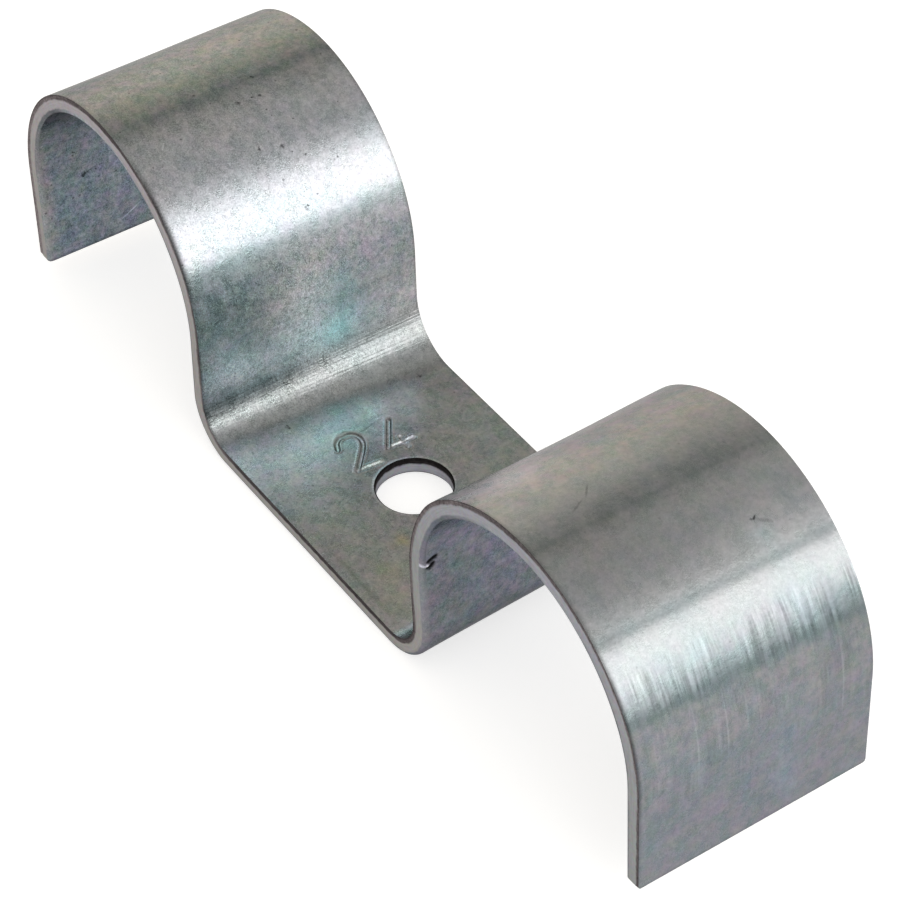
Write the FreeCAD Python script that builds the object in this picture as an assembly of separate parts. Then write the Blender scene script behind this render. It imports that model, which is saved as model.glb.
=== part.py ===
import FreeCAD
import Part
import os
from collections import namedtuple
from math import cos, pi, radians, sin, tan

# Two-tube conduit strap: one strip of zinc-plated steel sheet folded into two arches with a
# flat foot between them, held to the wall by one screw.
# Millimetres. X runs along the strip, Y along the tubes, +Z away from the wall. The origin is
# on the screw hole's axis, at the underside of the foot.

# Sheet strip
sheet_thickness = 1.5
strip_width = 20.0
edge_roll_radius = 0.3

# Screw hole in the foot
screw_hole_diameter = 6.3
hole_roll_radius = 0.25

# Foot and folds: a reach runs from the hole's axis to the nearest point of an arch
fold_radius = 3.4
left_foot_reach = 14.5
right_foot_reach = 14.5

# Tube seats: the seat clears the tube by a hair, and its axis sits lower than the tube's own
# radius by the grip, so that the screw pulls the tube against the wall
tube_diameter = 24.0
left_seat_clearance = 0.05
right_seat_clearance = 0.2
left_grip = 1.55
right_grip = 1.25

# Legs: a lean tips the inner leg towards the hole at its top, a splay swings the free leg out
left_inner_lean = 1.5
right_inner_lean = 2.0
left_free_splay = -0.5
right_free_splay = 2.0
left_free_end_height = 1.4
right_free_end_height = 2.35

Arch = namedtuple("Arch", "side radius axis_x axis_z lean splay end_height")


def place_arch(side, reach, clearance, grip, lean, splay, end_height):
    """One arch of the strap: side is -1 for the left one and +1 for the right one."""
    radius = tube_diameter / 2 + clearance
    return Arch(
        side=side,
        radius=radius,
        axis_x=reach + sheet_thickness + radius,
        axis_z=tube_diameter / 2 - grip,
        lean=radians(lean),
        splay=radians(splay),
        end_height=end_height,
    )


def face_points(arch, offset):
    """Points along one face of the sheet, from the fold at the foot to the free end.

    The offset is the height above the underside: 0 for the underside, the sheet's thickness
    for the top. Each arc is given by its start, middle and end.
    """
    arc_radius = arch.radius + offset
    bend_radius = fold_radius + sheet_thickness - offset
    bend_centre_z = fold_radius + sheet_thickness

    def on_arch(angle):
        return (arch.axis_x + arc_radius * cos(angle), arch.axis_z + arc_radius * sin(angle))

    # The inner leg is tangent to both the arch and the bend
    leg_top = on_arch(pi + arch.lean)
    leg_foot_z = bend_centre_z + bend_radius * sin(arch.lean)
    leg_foot_x = leg_top[0] + (leg_top[1] - leg_foot_z) * tan(arch.lean)
    bend_centre_x = leg_foot_x - bend_radius * cos(arch.lean)

    def on_bend(angle):
        return (
            bend_centre_x + bend_radius * cos(angle),
            bend_centre_z + bend_radius * sin(angle),
        )

    # The free leg leaves the arch tangentially and is cut square at its end
    free_top = on_arch(arch.splay)
    free_length = (arch.axis_z + arch.radius * sin(arch.splay) - arch.end_height) / cos(arch.splay)
    end = (
        free_top[0] + free_length * sin(arch.splay),
        free_top[1] - free_length * cos(arch.splay),
    )
    bend = [on_bend(-pi / 2), on_bend((arch.lean - pi / 2) / 2), on_bend(arch.lean)]
    crown = [leg_top, on_arch((pi + arch.lean + arch.splay) / 2), free_top]
    return [FreeCAD.Vector(arch.side * x, 0, z) for x, z in bend + crown + [end]]


def half_face(arch, offset):
    """Bend, inner leg, arch and free leg of one face of the sheet, on one side of the hole."""
    points = face_points(arch, offset)
    bend_start, bend_middle, bend_end, arch_start, arch_middle, arch_end, end = points
    return [
        Part.Arc(bend_start, bend_middle, bend_end).toShape(),
        Part.LineSegment(bend_end, arch_start).toShape(),
        Part.Arc(arch_start, arch_middle, arch_end).toShape(),
        Part.LineSegment(arch_end, end).toShape(),
    ]


def face_line(left, right, offset):
    """One face of the sheet seen along the tubes, from free end to free end."""
    foot = Part.LineSegment(face_points(left, offset)[0], face_points(right, offset)[0])
    return half_face(left, offset) + [foot.toShape()] + half_face(right, offset)


def free_end(arch, offset):
    """Where a face of the sheet stops at the free end of an arch."""
    return face_points(arch, offset)[-1]


def side_view(left, right):
    """The folded section seen along the tubes, as one closed wire on the plane Y = 0."""
    edges = face_line(left, right, 0) + face_line(left, right, sheet_thickness)
    for arch in (left, right):
        cut_end = Part.LineSegment(free_end(arch, 0), free_end(arch, sheet_thickness))
        edges.append(cut_end.toShape())
    return Part.Wire(Part.__sortEdges__(edges))


def underside_rim(strip, left, right):
    """Edges of the strip where its underside meets the cut sides and the cut ends."""
    underside = Part.Wire(Part.__sortEdges__(face_line(left, right, 0)))
    ends = [free_end(left, 0), free_end(right, 0)]
    tolerance = sheet_thickness / 100
    rim = []
    for edge in strip.Edges:
        middle = edge.valueAt((edge.FirstParameter + edge.LastParameter) / 2)
        projected = Part.Vertex(middle.x, 0, middle.z)
        on_side = abs(abs(middle.y) - strip_width / 2) < tolerance
        on_underside = underside.distToShape(projected)[0] < tolerance
        at_end = any((middle - end).Length < tolerance for end in ends)
        if at_end or (on_side and on_underside):
            rim.append(edge)
    return rim


def folded_strip(left, right):
    """The folded strip before the screw hole, with its rolled underside edges."""
    section = Part.Face(side_view(left, right))
    section.translate(FreeCAD.Vector(0, -strip_width / 2, 0))
    strip = section.extrude(FreeCAD.Vector(0, strip_width, 0))
    return strip.makeFillet(edge_roll_radius, underside_rim(strip, left, right))


def pierce(strip):
    """Punch the screw hole from below, which rolls its edge at the underside."""
    below = FreeCAD.Vector(0, 0, -sheet_thickness)
    punch = Part.makeCylinder(screw_hole_diameter / 2, 3 * sheet_thickness, below)
    pierced = strip.cut(punch)
    circles = [edge for edge in pierced.Edges if isinstance(edge.Curve, Part.Circle)]
    rim = [edge for edge in circles if edge.Curve.Center.Length < hole_roll_radius]
    return pierced.makeFillet(hole_roll_radius, rim)


left_arch = place_arch(
    side=-1,
    reach=left_foot_reach,
    clearance=left_seat_clearance,
    grip=left_grip,
    lean=left_inner_lean,
    splay=left_free_splay,
    end_height=left_free_end_height,
)
right_arch = place_arch(
    side=1,
    reach=right_foot_reach,
    clearance=right_seat_clearance,
    grip=right_grip,
    lean=right_inner_lean,
    splay=right_free_splay,
    end_height=right_free_end_height,
)
strap = pierce(folded_strip(left_arch, right_arch))

os.makedirs("parts", exist_ok=True)
strap.exportStep("parts/strap.step")
print("strap", strap.isValid(), len(strap.Solids), round(strap.Volume, 2), strap.BoundBox)
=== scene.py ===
from collections import namedtuple
from math import cos, pi, radians, sin

import bpy
import numpy as np
from mathutils import Matrix, Vector, noise


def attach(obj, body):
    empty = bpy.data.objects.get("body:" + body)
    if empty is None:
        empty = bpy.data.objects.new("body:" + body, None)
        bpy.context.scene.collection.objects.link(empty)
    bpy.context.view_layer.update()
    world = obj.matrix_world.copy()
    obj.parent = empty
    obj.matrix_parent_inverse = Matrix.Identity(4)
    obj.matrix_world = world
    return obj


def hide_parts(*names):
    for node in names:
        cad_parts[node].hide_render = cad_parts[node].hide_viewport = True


# Two-tube conduit strap. Sizes are in millimetres, as in the part's source, and become metres
# when a mesh or the camera is made. X runs along the strip, Y along the tubes, +Z away from the
# wall. The near edge is the cut side at -Y, the far edge the one at +Y.
MM = 0.001
TINY = 1e-6

# Sheet strip
SHEET_THICKNESS = 1.5
STRIP_WIDTH = 20.0
HALF_WIDTH = STRIP_WIDTH / 2
SHARP_EDGE = radians(38)

# Sheared rim: the underside is rolled over, the wall above the roll is burnished and its top
# torn. The roll is wide on the legs and narrows with height towards the crowns.
ROLL_WIDTH = 0.5
CROWN_ROLL_SHARE = 0.2
END_ROLL_SHARE = 0.35
ROLL_NARROWS_FROM = 9.0
ROLL_NARROWS_OVER = 9.0
ROLL_DEPTH = 0.3
ROLL_STEPS = 5
TORN_HEIGHTS = (1.0, 0.97, 0.9, 0.8)
TORN_CORNER_GROWTH = (0.1, 0.06, 0.02, 0.0)
BURNISHED_HEIGHTS = (0.7, 0.5, 0.34)
TORN_RAGGEDNESS = 0.035
TRIM_FADE = 2.0
CORNER_RADIUS = 0.15
LEFT_NEAR_CORNER_RADIUS = 0.25
ROLL_CORNER_GROWTH = 0.3

# Cut wall: place along the strip, the torn band's share of the wall and its tone, then how
# light the rolled rim is beside the plating
CUT_BANDS = [
    (-70, 0.36, 0.26, 1.25),
    (-58, 0.25, 0.2, 1.05),
    (-52, 0.27, 0.16, 0.75),
    (-46, 0.3, 0.11, 2.4),
    (-41.5, 0.36, 0.085, 2.4),
    (-38.5, 0.28, 0.09, 2.2),
    (-33.5, 0.2, 0.17, 1.3),
    (-27.5, 0.17, 0.16, 1),
    (-21.5, 0.26, 0.1, 1),
    (-15.5, 0.12, 0.24, 1),
    (-9.5, 0.36, 0.08, 1),
    (10, 0.32, 0.07, 1),
    (15, 0.26, 0.12, 1.2),
    (20, 0.19, 0.19, 1.35),
    (26.5, 0.2, 0.185, 0.78),
    (32, 0.22, 0.18, 0.65),
    (41, 0.32, 0.11, 2.1),
    (50, 0.25, 0.125, 1.9),
    (57, 0.17, 0.17, 1.2),
    (65, 0.16, 0.17, 1.1),
    (70, 0.2, 0.12, 1),
]
HOLE_CUT_BAND = (0.23, 0.026, 1.0)

# Screw hole
HOLE_RADIUS = 3.15
HOLE_ROLL = 0.25
HOLE_SQUARE = 2.2
HOLE_SPREAD = 4.6
HOLE_EDGE_BREAK = 0.11
HOLE_BURR_HEIGHT = 0.04
HOLE_BURR_WIDTH = 0.12
HOLE_WALL_SHIFT = 30.0
HOLE_DEPTH_SHARE = 0.7

# Levels of the hole's wall above its roll: share of the sheet's thickness, then how far the
# edge break has opened
HOLE_WALL_LEVELS = [(0.99, 0.6)] + [(share, 1.0) for share in (0.965, 0.9, 0.8, 0.64, 0.58, 0.4)]

# Folded section, shared by both arches
TUBE_DIAMETER = 24.0
FOOT_LINES_END = 9.0
FOOT_HEIGHT = 2 * SHEET_THICKNESS

# Mesh density along each run of the section
FOOT_STEPS = 3
BEND_STEPS = 20
LEG_STEPS = 8
LEFT_CROWN_STEPS = np.linspace(0, 1, 61)
RIGHT_CROWN_STEPS = np.append(np.linspace(0, 0.066, 21)[:-1], np.linspace(0.066, 1, 57))
FREE_STEPS = 8
CORNER_LINES_REACH = 0.75
CORNER_GAPS = np.linspace(0.6, 0, 7)[:, None]

# The sheet is bent a little unevenly, so most sizes of an arch are given at the near edge and
# at the far one. Angles are in degrees.
Arch = namedtuple("Arch", "side reach clearance grip lean splay fold end_height")

LEFT_ARCH = Arch(
    side=-1,
    reach=(14.58, 14.4),
    clearance=(-0.04, 0.07),
    grip=(1.39, 1.75),
    lean=(1.8, -1.2),
    splay=(0.3, -0.7),
    fold=(2.9, 4.45),
    end_height=1.33,
)
RIGHT_ARCH = Arch(
    side=1,
    reach=(14.57, 14.35),
    clearance=(0.13, 0.28),
    grip=(1.2, 1.4),
    lean=(2.3, 1.6),
    splay=(2.3, 1.65),
    fold=(3.4, 4.3),
    end_height=2.27,
)

# Stamped size number on the foot, as strokes over (x, y); it reads along +Y. The walls of a
# stroke get painted shade, or a painted highlight where its shade is below zero, by the way
# that it runs to the light
Stroke = namedtuple("Stroke", "points shade")

SIZE_NUMBER = [
    Stroke(
        [(-6.83, -2.64), (-7.64, -2.3), (-7.98, -1.6), (-7.85, -0.8), (-7.2, -0.42)]
        + [(-6.46, -0.53), (-5.79, -0.97), (-5.0, -1.7), (-3.93, -2.66)],
        0.8,
    ),
    Stroke([(-3.93, -2.66), (-3.7, -0.66)], -0.9),
    Stroke([(-7.41, 2.52), (-4.72, 0.73)], 0.8),
    Stroke([(-4.72, 0.73), (-4.62, 3.07)], -0.9),
    Stroke([(-5.26, 2.26), (-4.03, 2.11)], -0.5),
]
STROKE_ROUNDINGS = 3
GROOVE_HALF_WIDTH = 0.16
GROOVE_WALL = 0.13
GROOVE_DEPTH = 0.13
# Painted light on the floor of the grooves, then the raised lip beside them
GROOVE_FLOOR_LIGHT = 1.4
LIP_OFFSET = 0.31
LIP_WIDTH = 0.07
LIP_HEIGHT = 0.05

# Nick in the underside of the right inner leg, as strokes over (y, z): two gouges with the
# metal pushed up into a burr beside them, with painted shade in the gouges and a painted
# highlight on the burr
NICK_GOUGES = [
    [(-8.78, 12.25), (-8.95, 12.2), (-9.3, 12.0)],
    [(-8.95, 11.6), (-9.1, 11.45), (-9.32, 11.4)],
]
NICK_BURRS = [[(-10.1, 11.95), (-9.4, 11.62)]]
NICK_LOWEST = (15.0, -HALF_WIDTH - 1, 10.4)
NICK_HIGHEST = (17.5, -8.2, 13.4)
NICK_HALF_WIDTH = 0.34
NICK_STEEPNESS = 1.6
NICK_DEPTH = 0.1
NICK_SHADE = 0.97
BURR_HALF_WIDTH = 0.22
BURR_HEIGHT = 0.08
BURR_LIGHT = 2.0

# Places where an arch isn't quite round: place along the strip from the hole's axis and across
# it, reach along and across, then how far the sheet stands out there
BULGES = [
    (-52.5, 10, 5, 12, 0.21),
    (31.5, 10, 4, 6, 0.14),
    (31.3, -10, 3.2, 4, 0.1),
]

# Slow unevenness of the sheet, and the short one of the torn band
WAVE_LENGTH = 7.0
SHORT_WAVE_LENGTH = WAVE_LENGTH / 2.7
SHORT_WAVE_SHARE = 0.3
WAVE_DEPTH = 0.02
TEAR_WAVE_LENGTH = 0.9
TEAR_SEED = 11
NOISE_SEED_STEP = 17.3
NOISE_GAIN = 1.6

# Height of the plating's fine grain, in metres
GRAIN_RELIEF = 0.012 * MM


def wide_patch(along, reach_along, tint):
    """A patch right across the strip, of plating tint or of painted light and shade, as a row of
    the tables of patches.
    """
    return (along, 0, reach_along, 1.5 * STRIP_WIDTH, tint)


# Patches on the top face, partly cloudy plating and stains and partly painted light and shade
# that brighten or dim its reflections: place along the strip from the hole's axis and across it,
# reach along and across, then what the patch multiplies red, green and blue by, as one number if
# they are alike
PLATING_AND_PAINTED_LIGHT_PATCHES = [
    wide_patch(-51, 1.3, 1.13),
    (-48, 3, 3.8, 12, (1.36, 1.33, 1.24)),
    wide_patch(-32, 6, (1, 1, 1.04)),
    wide_patch(-28.2, 0.8, (0.94, 1, 1)),
    wide_patch(-43.1, 1.6, (0.79, 0.825, 0.75)),
    # Painted light on the left inner leg, for the light that the other parts reflect onto it
    wide_patch(-17.6, 1.7, (1.34, 1.33, 1.34)),
    (-18, -6, 2.8, 4.5, (1.36, 1.42, 1.44)),
    (-24.8, -8.5, 2.6, 4.5, (1.32, 1.6, 1.58)),
    (-19.4, -7.8, 3, 2.4, (1.3, 1.34, 1.38)),
    (-22.8, -2.5, 1.4, 1.2, (1.1, 1.06, 1.04)),
    (-17.3, 2.2, 1.3, 1.5, (0.92, 1.16, 1.14)),
    wide_patch(-25, 3, (0.97, 1.02, 1.02)),
    (-21.8, -0.6, 3.2, 3, (1.85, 1.72, 1.68)),
    (-15.7, 0.5, 0.9, 3, (1.4, 1.34, 1.34)),
    (-19.5, 1.5, 4.5, 4.5, (1.12, 1.2, 1.22)),
    (-18.5, 3.4, 2.4, 2.2, (0.9, 1.1, 1.1)),
    (-22, 3.2, 1.8, 1.8, (0.95, 1.08, 1.08)),
    (-24.2, 6.5, 2, 2.5, (1.04, 0.98, 1.06)),
    (-15.6, -5, 0.8, 6, (0.9, 1.02, 1.04)),
    # Painted shade and light that reshape the highlight along the left fold
    (-15.05, 7.5, 0.45, 4.5, (0.7, 0.72, 0.72)),
    (-16.3, 7.5, 1.2, 4, 1.13),
    wide_patch(-14.1, 1, (0.78, 0.78, 0.77)),
    (-14.1, -7, 0.9, 4, (1.22, 1.22, 1.2)),
    (-2, 0, 12, 40, (0.8, 0.83, 0.82)),
    (-8.3, -1.5, 2.2, 5, (1.02, 1.15, 1.13)),
    (-7.4, -6, 3.4, 4, (1.05, 1.12, 1.09)),
    (-1.5, -7, 4, 4, (1.26, 1.28, 1.22)),
    (-9.3, 2.3, 1.8, 1.2, (1.3, 1.34, 1.32)),
    (-9.2, 1.9, 1.6, 0.25, 1.16),
    (-9.2, 5.4, 2.2, 0.6, (1.1, 1.16, 1.16)),
    (-7.4, 4.4, 1.1, 0.5, (1.2, 1.24, 1.22)),
    (-6.2, 1.2, 0.9, 0.5, (1.14, 1.12, 1.16)),
    (-10.9, -3, 1.3, 9, (0.74, 0.75, 0.75)),
    (-10.8, -7.5, 1.3, 3.5, 0.8),
    (-8.6, 8.8, 2.8, 2.4, (0.8, 0.82, 0.82)),
    (8, 0, 4, 14, (1.06, 1.04, 0.97)),
    (4.5, -4.3, 0.65, 0.4, (1.35, 1.12, 0.72)),
    (6.8, -6.8, 1.4, 1, (1.07, 1.04, 0.92)),
    (6.5, -9.1, 4.5, 0.22, (0.8, 0.83, 0.78)),
    wide_patch(33.3, 1.2, (1.38, 1.37, 1.38)),
    (36, -7, 2.3, 4, (1.6, 1.56, 1.56)),
    wide_patch(36.2, 3.4, (1.25, 1.19, 1.16)),
    wide_patch(40, 2.6, (1.08, 1.08, 1.05)),
    (34, 0, 1.6, 7, (1.15, 1.12, 1.14)),
    (41, 7, 2, 5, 0.88),
    (43.4, 2, 1.8, 12, (0.81, 0.82, 0.84)),
    (47.5, -6, 1.8, 6, 0.87),
    (50.3, 6.5, 1.4, 5, 1.2),
    wide_patch(48.9, 2.2, (0.87, 0.87, 0.88)),
    (51.2, 4.9, 0.8, 0.8, (1, 1.12, 1.12)),
    wide_patch(52.6, 0.9, (0.86, 0.87, 0.87)),
    (52.9, 8.8, 0.4, 0.8, 0.7),
    (53, -8.9, 0.4, 0.8, 0.7),
    # Painted shade that dims the right arch's highlight
    wide_patch(57, 3, (0.66, 0.69, 0.69)),
    (57.2, 8.3, 1.3, 2, (0.8, 0.83, 0.83)),
    (61.5, 7, 2.5, 2.5, 0.88),
    (57, 5.3, 1.5, 0.7, (1.2, 1.2, 1.24)),
    wide_patch(58.3, 1.4, (0.87, 0.98, 0.98)),
    wide_patch(69, 9, (0.87, 0.9, 0.97)),
    (70.5, 2.9, 1.6, 0.8, (1.04, 1.08, 1.12)),
    (61.8, 5.2, 2.6, 0.5, 1.1),
    (67.5, 2.5, 4, 1.5, (0.98, 1.05, 1.09)),
    # Painted shade along the far and near edges of the top face
    (-29, 10, 12, 0.2, (0.6, 0.58, 0.57)),
    (-5, 10, 9, 0.15, (0.76, 0.75, 0.74)),
    (-48.5, -10, 4, 0.09, (0.65, 0.64, 0.63)),
    (-33.8, -10, 3.8, 0.32, (0.1, 0.09, 0.09)),
    (-31, -10, 2, 0.34, 0.36),
    (-28.9, -10, 3, 0.32, (0.1, 0.09, 0.09)),
    (-19.8, -10, 2.6, 0.15, (0.36, 0.35, 0.34)),
    (-15, -10, 2.8, 0.18, (0.3, 0.29, 0.29)),
    (39.5, -10, 5, 0.12, (0.7, 0.69, 0.68)),
    (59, -10, 11, 0.2, (0.3, 0.29, 0.29)),
    (56, -10, 2, 0.2, 0.7),
]

# Patches on the underside, of plating tint and of painted light and shade, in the same columns
UNDERSIDE_AND_PAINTED_LIGHT_PATCHES = [
    wide_patch(-68, 10, (1.02, 1.13, 1.18)),
    (-59.5, -7, 4, 5, (0.74, 0.76, 0.76)),
    (-64, 1, 4, 4.5, (1.16, 1.14, 1.14)),
    (-69, -7.5, 3, 1.6, (0.9, 1, 0.98)),
    (-66, -10, 8, 0.8, (1.2, 1.1, 1)),
    (29, -7.5, 4.5, 7, (1.42, 1.42, 1.56)),
    (21, 2, 6, 6, (1.12, 1.12, 1.24)),
    (-60, 3, 4, 4, (1.1, 1.07, 1.07)),
]

# Tint of the underside, and the painted shade of its contact where it rests on the wall, which
# fades above a small height
UNDERSIDE_TINT = (0.77, 0.79, 0.85)
RESTING_PAINTED_SHADE = (0.42, 0.42, 0.44)
RESTING_HEIGHT = 0.3
RESTING_FADE = 1.7

# Shade along the free ends of both faces
FREE_END_SHADE = 0.33
TOP_END_SHADE = 0.18
FREE_END_REACH = 0.3

# Lines right across the strip where the rolls of the bending machine left slight creases that
# reflect darker, drawn as painted shade with a small dent: place along the strip, half width
# and depth of the shade
ROLL_MARK_SHADES = [
    (-41.4, 0.9, 0.18),
    (-41, 0.4, 0.2),
    (-27.6, 0.6, 0.16),
    (44.75, 1.1, 0.08),
    (45.1, 0.25, 0.13),
    (52.8, 0.36, 0.25),
    (58.85, 0.42, 0.2),
]

# Dark specks: place along and across the strip, then radius. The underside lies further
# across by the shift, here and in the scratches.
SPECKS = [
    (-65.9, 54.1, 0.34),
    (-65.8, 54.6, 0.3),
    (-65.6, 55.3, 0.2),
    (-63.2, 53.4, 0.24),
    (-66.8, 56.9, 0.2),
    (-39.3, 0.4, 0.36),
    (-39.3, 1.7, 0.26),
    (-39.1, 2.4, 0.28),
    (-41, 2.8, 0.3),
    (-34.5, 1.8, 0.26),
    (-35, -0.1, 0.26),
    (-32, 5.4, 0.26),
    (-33.2, 3.1, 0.24),
    (-29.4, 1.6, 0.26),
    (-11.1, 7.4, 0.28),
    (-11, -4.4, 0.26),
    (50, 4.9, 0.3),
]
UNDERSIDE_SHIFT = 60.0

# Scratches: middle along and across the strip, half length, half width and turn in degrees,
# then the light that they add or take
SCRATCHES = [
    (42.3, -3.5, 0.75, 0.1, -40, -0.3),
    (43.2, -4.9, 0.85, 0.1, -62, -0.3),
    (50.4, 5.5, 0.7, 0.16, 58, -0.3),
    (-7.7, 0.9, 1, 0.09, -78, -0.35),
    (-38.3, -7, 0.45, 0.09, -40, 0.35),
    (63.4, 7.4, 3.4, 0.09, 0, 0.22),
    (62.2, -2.5, 3.2, 0.08, 0, 0.2),
    (62.6, -5, 3.4, 0.08, 0, 0.2),
    (61.8, -0.8, 2.2, 0.1, 0, 0.16),
    (-71.7, 57.8, 0.9, 0.1, 62, 0.6),
    (-71.3, 58.5, 0.7, 0.1, 60, 0.6),
    (-64.6, 57.4, 0.6, 0.12, 75, 0.35),
]


# The grid that the blank is drawn on

def grid_lines(*stretches):
    """Grid lines over several stretches, each given as (start, end, step)."""
    lines = [stretches[0][0]]
    for start, end, step in stretches:
        count = max(1, round(abs(end - start) / step))
        lines.extend(np.linspace(start, end, count + 1)[1:])
    return np.array(lines)


ACROSS = grid_lines(
    (-HALF_WIDTH, -8.6, 0.1),
    (-8.6, -3.3, 0.75),
    (-3.3, -HOLE_SQUARE, 0.08),
    (-HOLE_SQUARE, HOLE_SQUARE, 0.08),
    (HOLE_SQUARE, 3.5, 0.08),
    (3.5, 9.2, 0.7),
    (9.2, 9.6, 0.2),
    (9.6, HALF_WIDTH, 0.1),
)
LEFT_FOOT_LINES = grid_lines(
    (0.0, HOLE_SQUARE, 0.2),
    (HOLE_SQUARE, 3.4, 0.17),
    (3.4, 8.3, 0.08),
    (8.3, FOOT_LINES_END, 0.35),
)
RIGHT_FOOT_LINES = grid_lines(
    (0.0, HOLE_SQUARE, 0.2),
    (HOLE_SQUARE, HOLE_SPREAD, 0.3),
    (HOLE_SPREAD, FOOT_LINES_END, 0.7),
)


# The folded section

Section = namedtuple("Section", "x z normal_x normal_z along_x along_z")


def half_section(arch, foot_lines, crown_steps):
    """Underside of one arch and its half of the foot, from the hole's axis to the free end.

    Every value is an array over (station, line across the strip). The normal points to the
    top side of the sheet, and along points away from the hole.
    """
    share = (ACROSS + HALF_WIDTH) / STRIP_WIDTH

    def across_strip(pair):
        return pair[0] + (pair[1] - pair[0]) * share

    lean = np.radians(across_strip(arch.lean))
    splay = np.radians(across_strip(arch.splay))
    radius = TUBE_DIAMETER / 2 + across_strip(arch.clearance)
    axis_x = across_strip(arch.reach) + SHEET_THICKNESS + radius
    axis_z = TUBE_DIAMETER / 2 - across_strip(arch.grip)
    bend_radius = across_strip(arch.fold) + SHEET_THICKNESS
    leg_top_x = axis_x - radius * np.cos(lean)
    leg_top_z = axis_z - radius * np.sin(lean)
    leg_foot_z = bend_radius * (1 + np.sin(lean))
    leg_foot_x = leg_top_x + (leg_top_z - leg_foot_z) * np.tan(lean)
    bend_x = leg_foot_x - bend_radius * np.cos(lean)
    free_top_x = axis_x + radius * np.cos(splay)
    free_top_z = axis_z + radius * np.sin(splay)
    free_length = (free_top_z - arch.end_height) / np.cos(splay)

    def run(steps):
        if isinstance(steps, int):
            steps = np.linspace(0, 1, steps + 1)
        return steps[1:, None]

    def line(start, end, steps, normal_angle):
        along = run(steps)
        x = start[0] + (end[0] - start[0]) * along + 0 * share
        z = start[1] + (end[1] - start[1]) * along + 0 * share
        return x, z, normal_angle + 0 * x

    def arc(centre, arc_radius, start, end, steps, inward):
        angle = start + (end - start) * run(steps) + 0 * share
        x = centre[0] + arc_radius * np.cos(angle)
        z = centre[1] + arc_radius * np.sin(angle)
        return x, z, angle + (pi if inward else 0)

    drawn_foot = np.repeat(foot_lines[:, None], len(share), axis=1)
    free_gap = np.linspace(1, 0, FREE_STEPS + 1)[1:, None] * (free_length - CORNER_LINES_REACH)
    free_gap = np.concatenate([free_gap + CORNER_LINES_REACH, CORNER_GAPS + 0 * share])
    free_x = free_top_x + (free_length - free_gap) * np.sin(splay)
    free_z = free_top_z - (free_length - free_gap) * np.cos(splay)
    runs = [
        (drawn_foot, 0 * drawn_foot, np.full_like(drawn_foot, pi / 2)),
        line((FOOT_LINES_END, 0), (bend_x, 0), FOOT_STEPS, pi / 2),
        arc((bend_x, bend_radius), bend_radius, -pi / 2, lean, BEND_STEPS, True),
        line((leg_foot_x, leg_foot_z), (leg_top_x, leg_top_z), LEG_STEPS, pi + lean),
        arc((axis_x, axis_z), radius, pi + lean, splay, crown_steps, False),
        (free_x, free_z, splay + 0 * free_x),
    ]
    x, z, angle = (np.concatenate(parts) for parts in zip(*runs))
    return Section(
        x=arch.side * x,
        z=z,
        normal_x=arch.side * np.cos(angle),
        normal_z=np.sin(angle),
        along_x=arch.side * np.sin(angle),
        along_z=-np.cos(angle),
    )


def whole_section():
    """Both halves joined into one section, from the left free end to the right one."""
    left = half_section(LEFT_ARCH, LEFT_FOOT_LINES, LEFT_CROWN_STEPS)
    right = half_section(RIGHT_ARCH, RIGHT_FOOT_LINES, RIGHT_CROWN_STEPS)
    joined = [np.concatenate([a[::-1], b[1:]]) for a, b in zip(left, right)]
    section = Section(*joined)
    hole_station = len(left.x) - 1
    rise = bulge_rise(strip_lengths(section, hole_station))
    section = section._replace(
        x=section.x + section.normal_x * rise, z=section.z + section.normal_z * rise
    )
    return section, hole_station


def spot_share(along, across, spot):
    """Share from 0 to 1 that a soft-edged spot of the strip has at each place."""
    away_along = (along - spot[0]) / spot[2]
    away_across = (across - spot[1]) / spot[3]
    return np.exp(-(away_along ** 2 + away_across ** 2))


def bulge_rise(lengths):
    """How far the bulges lift the sheet, over every station and line across the strip."""
    rise = 0 * lengths[:, None] + 0 * ACROSS
    for *spot, height in BULGES:
        rise += height * spot_share(lengths[:, None], ACROSS, spot)
    return rise


def strip_lengths(section, hole_station):
    """Distance of each station from the hole's axis, measured along the sheet's top face."""
    middle = len(ACROSS) // 2
    x = section.x[:, middle] + section.normal_x[:, middle] * SHEET_THICKNESS
    z = section.z[:, middle] + section.normal_z[:, middle] * SHEET_THICKNESS
    steps = np.hypot(np.diff(x), np.diff(z))
    lengths = np.concatenate([[0], np.cumsum(steps)])
    return lengths - lengths[hole_station]


def on_sheet(section, across, height, pull):
    """Points in the folded sheet: height above its underside, pulled along the strip."""
    x = section.x + section.normal_x * height + section.along_x * pull
    z = section.z + section.normal_z * height + section.along_z * pull
    return np.stack([x, across + 0 * x, z], axis=-1)


# Shaping the blank

def smooth(share):
    """Ease from 0 to 1 without corners."""
    share = np.clip(share, 0, 1)
    return share * share * (3 - 2 * share)


def noise_field(points, wave_length, seed):
    """Smooth noise from -1 to 1 over an array of 3-D points, repeatable for a seed."""
    flat = points.reshape(-1, 3) / wave_length + seed * NOISE_SEED_STEP
    values = [noise.noise(Vector(point)) for point in flat]
    return np.clip(np.array(values) * NOISE_GAIN, -1, 1).reshape(points.shape[:-1])


def trimmed(end_gap, side_gap, inset, corner):
    """Gaps to the free end and to the cut side once the blank's corners and edges are worn.

    Points near a corner move onto its rounding. The inset fades out away from the edges.
    """
    along = np.clip(1 - end_gap / corner, 0, 1)
    across = np.clip(1 - side_gap / corner, 0, 1)
    round_along = along * np.sqrt(1 - across ** 2 / 2)
    round_across = across * np.sqrt(1 - along ** 2 / 2)
    end_gap = end_gap + (along - round_along) * corner
    side_gap = side_gap + (across - round_across) * corner
    end_gap = end_gap + END_ROLL_SHARE * inset * (1 - smooth(end_gap / TRIM_FADE))
    side_gap = side_gap + inset * (1 - smooth(side_gap / TRIM_FADE))
    return end_gap, side_gap


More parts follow.
